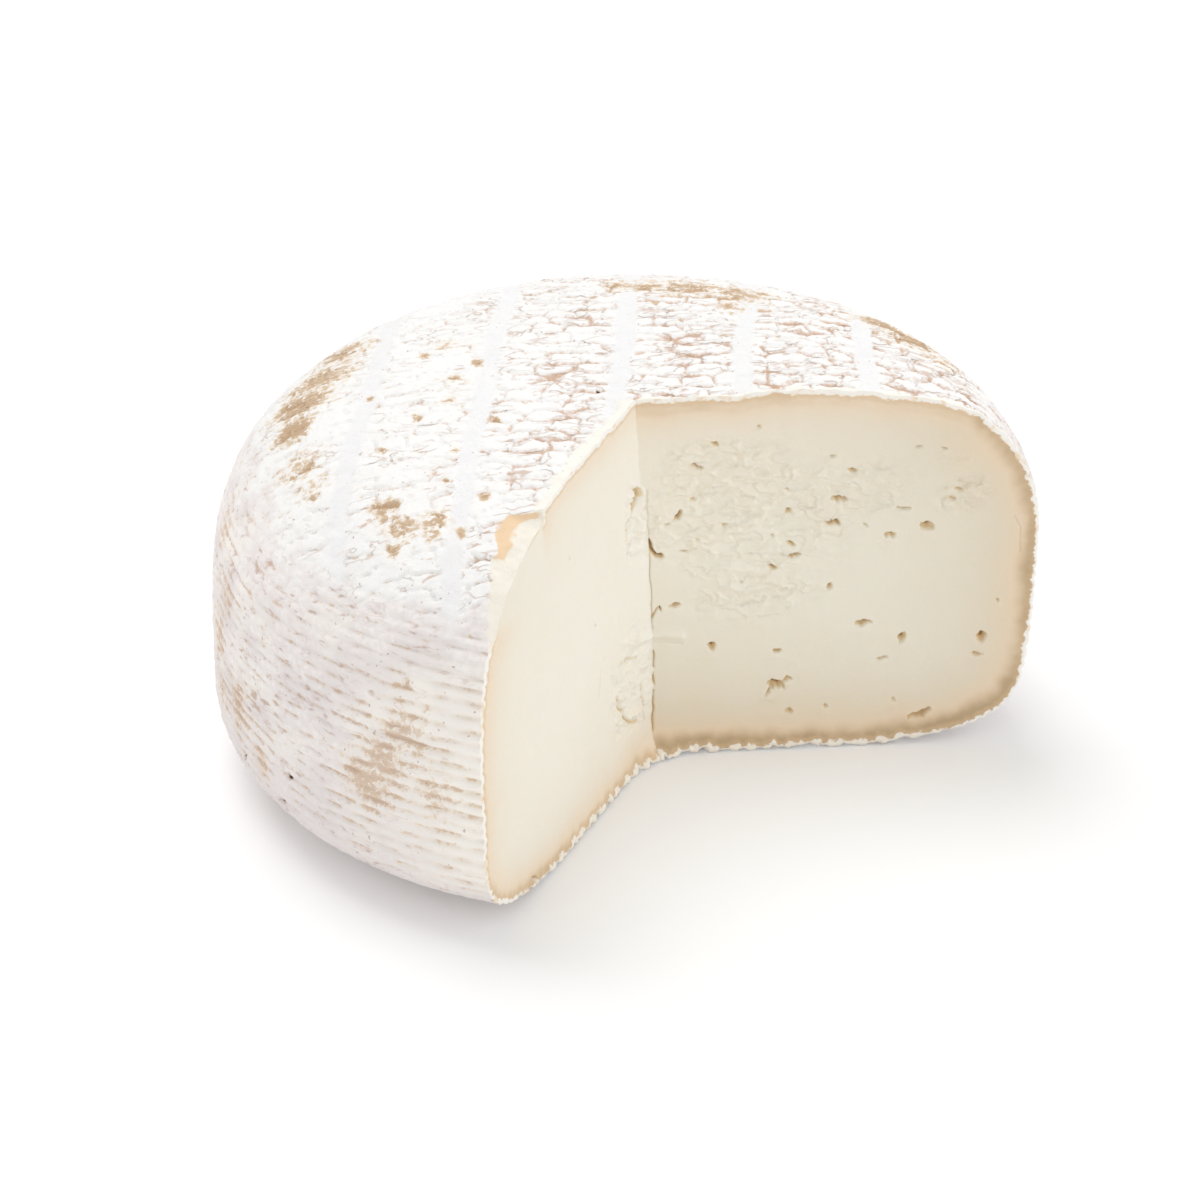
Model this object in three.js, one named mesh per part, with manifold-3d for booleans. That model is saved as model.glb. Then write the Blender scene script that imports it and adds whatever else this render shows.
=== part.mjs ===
// A small ripened cheese wheel with a third of it cut away. Millimetres, +Z up.
// It stands on its flat base. The origin is on the wheel's axis, at the base, and the
// cut face on the +X side runs along the X axis.
import * as THREE from "three";
import { mergeVertices } from "three/addons/utils/BufferGeometryUtils.js";
import Module from "manifold-3d";

// Driving dimensions
const RADIUS = 100; // at the belly, where the wheel is widest
const HEIGHT = 94; // on the wheel's axis
const BELLY = 0.294 * HEIGHT; // height of the belly over the base
const BASE_DEPTH = 1.06; // the rounded foot is this much deeper than the belly, and cut flat at the base

// Roundness of the four quarters of the profile: 2 is a circle, more is squarer
const SHOULDER_OUT = 3.8;
const SHOULDER_UP = 4.1;
const FOOT_OUT = 4.0;
const FOOT_DOWN = 3.7;

// The missing piece: two straight cuts that meet in a line near the middle
const CUT_TOP = new THREE.Vector2(-1.2, -16.1); // where that line leaves the top
const CUT_BASE = new THREE.Vector2(6.5, -12.6); // and where it leaves the base
const CUT_ANGLE = 119.6; // between the two cuts, degrees
const CUT_REACH = 300; // well past the rind
const CUT_OVERRUN = 20; // past the top and the base

// A handmade wheel isn't true: it settles a little as it ripens
const OVAL = 0.017; // narrower by this share along OVAL_ANGLE, wider across it
const OVAL_ANGLE = 9; // degrees
const TOP_TILT = new THREE.Vector2(0.038, 0.052); // slope of the top towards +X and +Y
const LEAN = new THREE.Vector2(2.3, 2.6); // how far the top has crept over the base

const AROUND = 96; // steps round the wheel
const PER_QUARTER = 12; // steps in each quarter of the profile

const wasm = await Module();
wasm.setup();

// The wheel's half section, from the middle of the base to the middle of the top
function profile() {
  const points = [new THREE.Vector2(0, 0)];
  const quarter = (step) => (step / PER_QUARTER) * (Math.PI / 2);
  for (let i = PER_QUARTER; i > 0; i--) {
    const out = RADIUS * Math.cos(quarter(i)) ** (2 / FOOT_OUT);
    const down = BASE_DEPTH * BELLY * Math.sin(quarter(i)) ** (2 / FOOT_DOWN);
    if (down < BELLY) points.push(new THREE.Vector2(out, BELLY - down));
    else points[1] = new THREE.Vector2(out, 0);
  }
  for (let i = 0; i < PER_QUARTER; i++) {
    const out = RADIUS * Math.cos(quarter(i)) ** (2 / SHOULDER_OUT);
    const up = (HEIGHT - BELLY) * Math.sin(quarter(i)) ** (2 / SHOULDER_UP);
    points.push(new THREE.Vector2(out, BELLY + up));
  }
  points.push(new THREE.Vector2(0, HEIGHT));
  return points;
}

// A closed geometry as a manifold-3d solid
function solid(geometry) {
  geometry.deleteAttribute("normal");
  geometry.deleteAttribute("uv");
  const merged = mergeVertices(geometry, 1e-3);
  return new wasm.Manifold(
    new wasm.Mesh({
      numProp: 3,
      vertProperties: merged.attributes.position.array,
      triVerts: new Uint32Array(merged.index.array),
    }),
  );
}

function wholeWheel() {
  return solid(new THREE.LatheGeometry(profile(), AROUND).rotateX(Math.PI / 2));
}

// The missing piece as a leaning three-sided prism, longer than the wheel on every side
function missingPiece() {
  const turn = THREE.MathUtils.degToRad(-CUT_ANGLE);
  const outline = new THREE.Shape([
    new THREE.Vector2(0, 0),
    new THREE.Vector2(CUT_REACH * Math.cos(turn), CUT_REACH * Math.sin(turn)),
    new THREE.Vector2(CUT_REACH, 0),
  ]);
  const slope = CUT_TOP.clone().sub(CUT_BASE).divideScalar(HEIGHT);
  const prism = new THREE.ExtrudeGeometry(outline, {
    depth: HEIGHT + 2 * CUT_OVERRUN,
    bevelEnabled: false,
  });
  prism.translate(0, 0, -CUT_OVERRUN);
  prism.applyMatrix4(new THREE.Matrix4().makeShear(0, 0, 0, 0, slope.x, slope.y));
  prism.translate(CUT_BASE.x, CUT_BASE.y, 0);
  return solid(prism);
}

// The solid as a geometry, with the slight oval, tilt and lean of the real wheel
function settled(made) {
  const mesh = made.getMesh();
  const position = new THREE.BufferAttribute(new Float32Array(mesh.vertProperties), 3);
  const axis = THREE.MathUtils.degToRad(OVAL_ANGLE);
  for (let i = 0; i < position.count; i++) {
    const x = position.getX(i);
    const y = position.getY(i);
    const z = position.getZ(i);
    const rise = z / HEIGHT;
    const stretch = 1 - OVAL * Math.cos(2 * (Math.atan2(y, x) - axis));
    position.setXYZ(
      i,
      x * stretch + LEAN.x * rise,
      y * stretch + LEAN.y * rise,
      z + rise * (TOP_TILT.x * x + TOP_TILT.y * y),
    );
  }
  const geometry = new THREE.BufferGeometry();
  geometry.setAttribute("position", position);
  geometry.setIndex(new THREE.BufferAttribute(mesh.triVerts, 1));
  geometry.computeVertexNormals();
  return geometry;
}

const cheese = new THREE.MeshStandardMaterial({
  color: 0xf0e6cf,
  roughness: 0.6,
  metalness: 0,
  flatShading: true,
});
const wheel = new THREE.Mesh(settled(wholeWheel().subtract(missingPiece())), cheese);
wheel.name = "cheese_wheel";

const part = new THREE.Group();
part.add(wheel);
export default part;
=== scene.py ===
"""The looks of a cut cheese wheel: one closed mesh with a moulded rind and two cut faces.

Lengths are in millimetres in the wheel's own frame, and the mesh is scaled to metres at the end.
A place on the wheel is told by its turn round the line where the two cuts meet, its distance out
from that line and its height, so that the cut faces are the first and the last turn.
"""

import math

import bpy
import numpy as np
from mathutils import Matrix, Vector
from mathutils.geometry import delaunay_2d_cdt


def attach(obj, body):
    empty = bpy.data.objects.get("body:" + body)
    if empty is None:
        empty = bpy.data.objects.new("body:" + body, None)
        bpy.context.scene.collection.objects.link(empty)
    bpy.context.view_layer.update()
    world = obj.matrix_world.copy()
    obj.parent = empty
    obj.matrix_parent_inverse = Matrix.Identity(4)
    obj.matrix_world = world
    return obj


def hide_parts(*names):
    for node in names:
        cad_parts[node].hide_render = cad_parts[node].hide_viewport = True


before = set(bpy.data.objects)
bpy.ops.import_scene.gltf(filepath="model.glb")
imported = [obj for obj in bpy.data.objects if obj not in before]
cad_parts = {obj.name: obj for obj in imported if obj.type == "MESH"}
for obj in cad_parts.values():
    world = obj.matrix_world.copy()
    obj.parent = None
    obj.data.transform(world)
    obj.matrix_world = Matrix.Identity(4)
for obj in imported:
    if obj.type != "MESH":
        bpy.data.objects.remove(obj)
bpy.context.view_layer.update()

MM = 0.001

# The wheel, as in the CAD model
RADIUS = 100.0
HEIGHT = 94.0
BELLY = 0.294 * HEIGHT
BASE_DEPTH = 1.06
SHOULDER_OUT, SHOULDER_UP = 3.8, 4.1
FOOT_OUT, FOOT_DOWN = 4.0, 3.7
CUT_TOP = np.array([-1.2, -16.1])
CUT_BASE = np.array([6.5, -12.6])
CUT_ANGLE = 119.6
OVAL, OVAL_ANGLE = 0.017, 9.0
TOP_TILT = np.array([0.038, 0.052])
LEAN = np.array([2.3, 2.6])

RIGHT = 0.0
LEFT = math.radians(360.0 - CUT_ANGLE)

# The mesh
TOP_RING = 84.0  # radius where the top patch meets the side
BASE_RING = 58.0  # radius where the base patch meets the foot
ROW_STEP = 0.55
COLUMN_STEP = 0.85
TOP_STEP = 0.62
BASE_STEP = 1.3
FACE_STEP = 0.62
FINE_STEP = 0.32  # on the faces, close to the rind, the eyes and the cracks

# The basket's print
BAND_TURN = math.radians(80.1)  # the way the smooth bands run
BANDS = (-62.5, -33.8, -3.2, 26.1, 55.3)  # how far each is to the side of the middle
BAND_WIDTH = 4.8
WEAVE_ROW = 5.2  # from one row of short reeds to the next
WEAVE_LENGTH = 7.6
RIB = 2.96  # from one rib of the wall to the next

# Along the cuts: the web of paste at the foot of the inner corner, and the lumps of the base's edges
WEB_FOOT, WEB_WIDTH, WEB_HEIGHT, WEB_DEPTH = CUT_BASE + (0.2, -0.2), 6.5, 4.2, 3.6
BEAD = 5.2  # from one lump to the next
NEAR_TURN, FAR_OFF = 1.2, 99  # past this turn from a cut, a place counts as that far from it

# The camera: its way from the wheel, its distance, the small turns of a hand-held one, and its lens
CAMERA_AROUND, CAMERA_ABOVE = math.radians(-97.19), math.radians(25.24)
CAMERA_DISTANCE = 624.9
CAMERA_PAN, CAMERA_TILT, CAMERA_ROLL = 0.00941, -0.01655, 0.01637
CAMERA_LENS = 77.79

# The studio
SKY = 0.62
SUNS = (  # name, the way to it, strength, spread in degrees, whether it casts a shadow
    ("above", (-0.25, 0.42, 0.87), 1.25, 40, True),
    ("key", (0.84, -0.05, 0.48), 0.8, 50, False),
    ("fill", (-0.3, -0.8, 0.52), 0.45, 70, False),
)
FLOOR_SIZE, FLOOR_DROP = 14, 0.0002  # in metres
FLOOR_WHITE = (0.93, 0.93, 0.93, 1)

# The sheet that the skin is laid out on for its UVs, in mm: its side, and where each part is on it
SHEET = 430.0
SHEET_MARGIN = 1.0
STRIPS, STRIP_PITCH = 3, 143  # the wall is laid out in this many strips
TOP_AT, BASE_AT = (88, 212), (62, 362)
RIGHT_AT, LEFT_AT = (178, 124), (304, 124)
FACE_SCALE = 1.22  # the cut faces are laid out larger, for their fine detail


# ---------------------------------------------------------------- camera, light and floor

def turned(a, b, angle):
    """Two square directions, turned in their own plane from a towards b."""
    return a * math.cos(angle) + b * math.sin(angle), b * math.cos(angle) - a * math.sin(angle)


def make_camera():
    """Looks at the middle of the wheel, slightly turned, tipped and rolled as by hand."""
    target = Vector((LEAN[0] / 2, LEAN[1] / 2, HEIGHT / 2))
    level = math.cos(CAMERA_ABOVE)
    away = Vector((math.cos(CAMERA_AROUND) * level, math.sin(CAMERA_AROUND) * level, math.sin(CAMERA_ABOVE)))
    right = Vector((0, 0, 1)).cross(away).normalized()
    ahead, up = -away, away.cross(right)
    ahead, right = turned(ahead, right, -CAMERA_PAN)
    ahead, up = turned(ahead, up, CAMERA_TILT)
    right, up = turned(right, up, CAMERA_ROLL)
    pose = Matrix((right, up, -ahead)).transposed().to_4x4()
    pose.translation = (target + away * CAMERA_DISTANCE) * MM
    data = bpy.data.cameras.new("camera")
    data.sensor_width = 36.0
    data.lens = CAMERA_LENS
    data.clip_start = 0.01
    camera = bpy.data.objects.new("camera", data)
    camera.matrix_world = pose
    bpy.context.scene.collection.objects.link(camera)
    bpy.context.scene.camera = camera


def soft_sun(name, towards, strength, spread, shadow):
    """A very wide sun, so that its shadows are soft and the floor is evenly lit all the way back."""
    data = bpy.data.lights.new(name, "SUN")
    data.energy = strength
    data.angle = math.radians(spread)
    data.use_shadow = shadow
    light = bpy.data.objects.new(name, data)
    light.rotation_euler = Vector(towards).to_track_quat("Z", "Y").to_euler()
    light.location = Vector(towards)
    bpy.context.scene.collection.objects.link(light)


def make_studio():
    """A white floor and sky, a soft light from above, and a key and a fill that cast no shadow."""
    scene = bpy.context.scene
    scene.view_settings.view_transform = "Standard"
    world = bpy.data.worlds.new("studio")
    world.use_nodes = True
    background = world.node_tree.nodes["Background"]
    background.inputs["Color"].default_value = (1.0, 1.0, 1.0, 1)
    background.inputs["Strength"].default_value = SKY
    scene.world = world
    for sun in SUNS:
        soft_sun(*sun)

    bpy.ops.mesh.primitive_plane_add(size=FLOOR_SIZE, location=(0, 0, -FLOOR_DROP))
    floor = bpy.context.object
    floor.name = "floor"
    material = bpy.data.materials.new("floor")
    material.use_nodes = True
    shader = material.node_tree.nodes["Principled BSDF"]
    shader.inputs["Base Color"].default_value = FLOOR_WHITE
    shader.inputs["Roughness"].default_value = 0.85
    shader.inputs["Specular IOR Level"].default_value = 0.1
    floor.data.materials.append(material)


# ---------------------------------------------------------------- plain shape tools

dice = np.random.default_rng(11)
SHUFFLE = dice.permutation(256)
SLOPES = dice.normal(size=(256, 3))
SLOPES /= np.linalg.norm(SLOPES, axis=1)[:, None]


def noise(points, size, seed=0):
    """Smooth noise of about -1 to 1, with lumps of that size."""
    q = np.asarray(points, float) / size + 31.7 * seed
    cell = np.floor(q).astype(int)
    f = q - cell
    ease = f ** 3 * (f * (f * 6 - 15) + 10)
    total = np.zeros(len(q))
    for corner in np.ndindex(2, 2, 2):
        at = cell + corner
        pick = SHUFFLE[at[:, 2] & 255]
        pick = SHUFFLE[(at[:, 1] + pick) & 255]
        pick = SHUFFLE[(at[:, 0] + pick) & 255]
        weight = np.prod(np.where(corner, ease, 1 - ease), axis=1)
        total += weight * ((f - corner) * SLOPES[pick]).sum(1)
    return 1.6 * total


def fractal(points, size, octaves, seed=0):
    """Noise with finer and finer detail."""
    total, share = 0, 1.0
    for k in range(octaves):
        total = total + share * noise(points, size / 2 ** k, seed + k)
        share *= 0.55
    return total


def smooth(value, low, high):
    """0 below low, 1 above high, and a smooth step between."""
    t = np.clip((value - low) / (high - low), 0, 1)
    return t * t * (3 - 2 * t)


def in_space(u, v, w=0.0):
    return np.stack([u, v, np.full_like(u, w)], -1)


def meridian():
    """The wheel's half section, from the middle of the base to the middle of the top: radius, height, run."""
    low = np.linspace(math.pi / 2, 0, 900)
    high = np.linspace(0, math.pi / 2, 900)[1:]
    low_z = np.maximum(BELLY - BASE_DEPTH * BELLY * np.sin(low) ** (2 / FOOT_DOWN), 0)
    high_z = BELLY + (HEIGHT - BELLY) * np.sin(high) ** (2 / SHOULDER_UP)
    low_r = np.abs(np.cos(low)) ** (2 / FOOT_OUT)
    high_r = np.abs(np.cos(high)) ** (2 / SHOULDER_OUT)
    r = RADIUS * np.concatenate([low_r, high_r])
    z = np.concatenate([low_z, high_z])
    run = np.concatenate([[0], np.cumsum(np.hypot(np.diff(r), np.diff(z)))])
    return r, z, run


SECTION_R, SECTION_Z, SECTION_RUN = meridian()
WIDEST = int(np.argmax(SECTION_R))
BELLY_RUN = SECTION_RUN[WIDEST]
WHOLE_RUN = SECTION_RUN[-1]
BASE_EDGE = SECTION_R[SECTION_Z <= 0].max()  # where the flat of the base ends


def top_height(r):
    share = 1 - np.clip(r / RADIUS, 0, 1) ** SHOULDER_OUT
    return BELLY + (HEIGHT - BELLY) * share ** (1 / SHOULDER_UP)


def run_at(radius, height):
    """How far along the half section a place on the rind is."""
    low_run = np.interp(radius, SECTION_R[:WIDEST + 1], SECTION_RUN[:WIDEST + 1])
    high_run = np.interp(-radius, -SECTION_R[WIDEST:], SECTION_RUN[WIDEST:])
    rising = (SECTION_R > 90) | ((SECTION_Z > 5) & (SECTION_Z < 70))
    wall_run = np.interp(height, SECTION_Z[rising], SECTION_RUN[rising])
    return np.where(height < 5, low_run, np.where(height > 70, high_run, wall_run))


def cut_line(height):
    """Where the line in which the two cuts meet is, in plan, at that height."""
    share = np.asarray(height)[..., None] / HEIGHT
    return CUT_BASE + (CUT_TOP - CUT_BASE) * share


def point(turn, out, height):
    """The point at that turn round the cut line, that far out from it, at that height."""
    line = cut_line(height)
    return np.stack([line[..., 0] + out * np.cos(turn), line[..., 1] + out * np.sin(turn), height], -1)


def reach(turn, height, radius):
    """How far out from the cut line the wheel's own radius is met."""
    line = cut_line(height)
    along = line[..., 0] * np.cos(turn) + line[..., 1] * np.sin(turn)
    inside = radius ** 2 - (line ** 2).sum(-1)
    return -along + np.sqrt(np.maximum(along ** 2 + inside, 0))


def webbed(p):
    """The small web of paste left at the foot of the inner corner."""
    away = np.hypot(p[:, 0] - WEB_FOOT[0], p[:, 1] - WEB_FOOT[1]) / WEB_WIDTH
    push = WEB_DEPTH * np.exp(-away ** 2 - (p[:, 2] / WEB_HEIGHT) ** 2) * (1 + 0.35 * noise(p, 3.4, 64))
    middle = (LEFT + 2 * math.pi) / 2
    return p + push[:, None] * (math.cos(middle), math.sin(middle), 0)


def settled(p):
    """The slight oval, tilt and lean of the real wheel."""
    x, y, z = p[:, 0], p[:, 1], p[:, 2]
    rise = z / HEIGHT
    stretch = 1 - OVAL * np.cos(2 * (np.arctan2(y, x) - math.radians(OVAL_ANGLE)))
    return np.stack([
        x * stretch + LEAN[0] * rise,
        y * stretch + LEAN[1] * rise,
        z + rise * (TOP_TILT[0] * x + TOP_TILT[1] * y),
    ], -1)


# ---------------------------------------------------------------- the rind's relief

def chance(row, reed, kind):
    """A fixed random share of 0 to 1 for each reed."""
    pick = SHUFFLE[(row.astype(int) + 37 * kind) & 255]
    return SHUFFLE[(reed.astype(int) + pick) & 255] / 255


def weave(across, along, clear, seed):
    """The basket's print: how far a place is from the nearest groove between reeds, 0 to 1, and the share of
    smooth band. Grooves are wide where the print is clear, and thin or missing where the bloom filled it."""
    here = in_space(across, along, seed * 9.0)
    band_warp = across + 1.0 * noise(here, 30, seed) + 0.35 * noise(here, 7, seed + 1)
    across = across + 1.9 * noise(here, 16, seed + 4) + 0.9 * noise(here, 5, seed + 5)
    along = along + 2.6 * noise(here, 34, seed + 2) + 1.5 * noise(here, 12, seed + 3)
    along = along + 0.8 * noise(here, 4, seed + 6)
    gap = np.abs(band_warp[:, None] - np.array(BANDS)[None, :]).min(1)
    band = 1 - smooth(gap, BAND_WIDTH * 0.33, BAND_WIDTH * 0.62)
    best, second = np.full(len(across), 9.0), np.full(len(across), 9.0)
    best_row, second_row = np.zeros(len(across)), np.zeros(len(across))
    row = along / WEAVE_ROW
    for row_step in (-1, 0, 1):
        n = np.floor(row) + row_step
        lane = across / WEAVE_LENGTH + 0.5 * (n % 2) + 0.8 * chance(n, n * 0, 1)
        for reed_step in (-1, 0, 1):
            k = np.floor(lane) + reed_step
            a = (lane - k - 0.5 - 0.6 * (chance(n, k, 2) - 0.5)) * 2
            b = (row - n - 0.5 - 0.42 * (chance(n, k, 3) - 0.5)) * 2
            size_a, size_b = 0.75 + 0.6 * chance(n, k, 4), 0.75 + 0.5 * chance(n, k, 5)
            away = (np.abs(a / size_a) ** 2.4 + np.abs(b / size_b) ** 2.4) ** (1 / 2.4)
            nearer = away < best
            second_row = np.where(nearer, best_row, np.where(away < second, n, second_row))
            second = np.where(nearer, best, np.minimum(second, away))
            best_row = np.where(nearer, n, best_row)
            best = np.where(nearer, away, best)
    strength = clear + 0.55 * noise(here * (0.7, 1, 1), 7, seed + 7) + 0.4 * noise(here, 2.4, seed + 8)
    ends = 0.18 + 0.5 * smooth(noise(here, 4.5, seed + 9), -0.2, 0.6)
    strength = np.where(best_row == second_row, ends, 1.0) * np.clip(strength, 0.04, 1.3)
    return np.clip((second - best) / strength * 0.62, 0, 1), band


def beads(out):
    """The lumps along the cut rind of the base: 1 on a lump, 0 between two."""
    place = in_space(out, out * 0)
    wander = 2.6 * noise(place, 10, 46) + 0.8 * noise(place, 5, 47)
    wave = 0.5 + 0.5 * np.cos(2 * math.pi * (out + wander) / BEAD)
    return smooth(wave, 0.1, 0.75) * (0.55 + 0.45 * smooth(noise(place, 6, 48), -0.4, 0.4))


def ribs(p, run):
    """The ribs of the basket's wall: 1 on a rib, 0 in a groove."""
    here = np.stack([np.arctan2(p[:, 1], p[:, 0]) * RADIUS, run, run * 0], -1)
    wander = 0.8 * noise(here * (0.35, 1, 1), 14, 21) + 0.4 * noise(here * (0.5, 1, 1), 5, 22)
    wave = 0.5 + 0.5 * np.cos(2 * math.pi * (run + wander) / RIB)
    knots = smooth(noise(here * (0.6, 1, 1), 3.6, 23), -0.25, 0.35)
    return 1 - (1 - wave) ** 1.6 * (0.35 + 0.65 * knots)


# Where the white bloom is gone and the rind shows brown: place, size, strength
STAINS = (
    ((-67, 40, 86), 9, 1.0), ((-73, 24, 87), 10, 1.15), ((-78, 12, 86), 9, 1.25), ((-80, -1, 85), 5, 1.6),
    ((-79, -20, 85), 7, 0.8), ((-76, -30, 84), 6, 0.7), ((8, 56, 92), 8, 0.95), ((20, 53, 93), 9, 1.0),
    ((33, 48, 92), 9, 1.0), ((30, 36, 95), 5, 0.8), ((74, 25, 86), 8, 1.15), ((67, 35, 88), 8, 1.05),
    ((80, 12, 85), 5, 0.8), ((-60, -48, 87), 4, 1.1), ((-56, -56, 86), 4, 1.1), ((-49, -57, 88), 4.5, 1.0),
    ((-42, 26, 93), 4, 0.7), ((-44, -8, 93), 4, 0.7), ((-41, 2, 93), 5, 0.5), ((-57, -81, 50), 6, 0.9),
    ((-61, -79, 42), 6, 1.05), ((-64, -76, 35), 7, 1.05), ((-50, -85, 38), 7, 0.7),
    ((-99, -18, 42), 7, 0.9), ((-98, -24, 55), 6, 0.8), ((-94, -34, 31), 7, 0.9), ((-97, -20, 28), 6, 0.8),
    ((-97, -10, 66), 6, 0.7), ((-88, -46, 22), 6, 0.6), ((60, 80, 50), 14, 0.7), ((-30, 95, 30), 12, 0.8),
    ((80, 60, 84), 9, 0.8), ((20, 84, 84), 10, 0.6),
)

# Small brown marks where the bloom was rubbed off the left of the top: place, radius
RUBS = (
    ((-60, -52, 88), 2.6), ((-55, -58, 87), 2.2), ((-50, -60, 88), 2.8), ((-52, -55, 90), 1.6),
    ((-44, -62, 88), 1.6), ((-58, -60, 83), 1.8), ((-57, -62, 78), 1.5), ((-66, -40, 89), 1.6),
    ((-46, -44, 92), 1.5), ((-44, -32, 93), 1.3), ((-60, -26, 91), 1.4), ((-38, -52, 91), 1.5),
    ((-52, -14, 93), 1.5), ((-62, 2, 91), 1.3), ((-48, 20, 93), 1.6), ((-56, -80, 62), 1.3),
    ((-52, -83, 57), 1.2), ((-56, 26, 90), 1.4), ((-36, 12, 94), 1.7), ((-34, -20, 94), 1.3),
    ((-42, 4, 94), 1.9), ((-58, 40, 88), 1.6),
)

# Small round holes, most of them in the wall: place, radius
PITS = (
    ((-82, -57, 25), 0.85), ((-84, -53, 16), 0.8), ((-93, -36, 18), 0.7), ((-88, 13, 80), 0.8),
    ((84, 4, 83), 0.8), ((-9, -8, 94), 0.5), ((-30, 95, 52), 1.1), ((55, 83, 24), 1.2), ((96, 20, 40), 1.0),
    ((-90, 40, 35), 1.0),
)


def chip_at(p, out, from_left):
    """Where a flake is gone from the shoulder at the left cut: 1 inside it, and how far across it."""
    tall = np.clip((p[:, 2] - 69) / 19, 0, 1) ** 2
    width = 0.3 + 6.9 * smooth(out, 50.5, 55) * tall * (1 + 0.25 * noise(p, 6, 61))
    across = from_left / width + 0.14 * noise(p, 2.2, 62)
    return (1 - smooth(across, 0.8, 1.1)) * smooth(width, 0.5, 1.2), np.clip(across, 0, 1)


def stain_at(p):
    """How brown the rind is, 0 to about 1.5, in soft patches."""
    total = np.zeros(len(p))
    for spot, size, strength in STAINS:
        away = np.linalg.norm(p - np.array(spot), axis=1) / size
        total = np.maximum(total, strength * np.exp(-0.8 * away ** 2))
    for spot, size in RUBS:
        away = np.linalg.norm((p - np.array(spot)) * (1.05, 0.75, 1.0), axis=1) / size
        total = np.maximum(total, 1.3 * np.exp(-0.8 * away ** 2))
    return total


def pit_at(p):
    """How far inside a small hole a place is, up to 1 at its middle."""
    total = np.zeros(len(p))
    for spot, size in PITS:
        away = np.linalg.norm(p - np.array(spot), axis=1) / size
        total = np.maximum(total, 1 - away / 2)
    return total


def off_cut(gap, out):
    """How far a place is from a cut, worked out from the turn between them, or FAR_OFF."""
    return np.where(gap < NEAR_TURN, np.sin(np.clip(gap, 0, NEAR_TURN)) * out, FAR_OFF)


def flattened(p, run, radius):
    """A place on the top or the base, laid flat: how far it is across the smooth bands, and along them."""
    spread = np.where(run > BELLY_RUN, WHOLE_RUN - run, run) / radius
    x, y = p[:, 0] * spread, p[:, 1] * spread
    c, s = math.cos(BAND_TURN), math.sin(BAND_TURN)
    return x * s - y * c, x * c + y * s


def worn_at(p, across):
    """How thin the bloom is on the top, 0 to 1: thick at the left, thin at the right."""
    worn = 0.24 + 0.48 * smooth(across + 8 * noise(p, 30, 47), -46, -18) + 0.2 * smooth(across, 15, 60)
    return worn + 0.38 * fractal(p, 15, 2, 48)


def bloomed_edge(p, from_left, from_right):
    """0 on the strip of thick bloom along the cuts, 1 away from them."""
    left = smooth(from_left + 1.7 * noise(p, 7, 44) + 0.7 * noise(p, 2.5, 53), 1.3, 3.6)
    right = smooth(from_right + 1.3 * noise(p, 6, 45) + 0.5 * noise(p, 2.5, 54), 0.7, 2.0)
    return left * right


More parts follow.
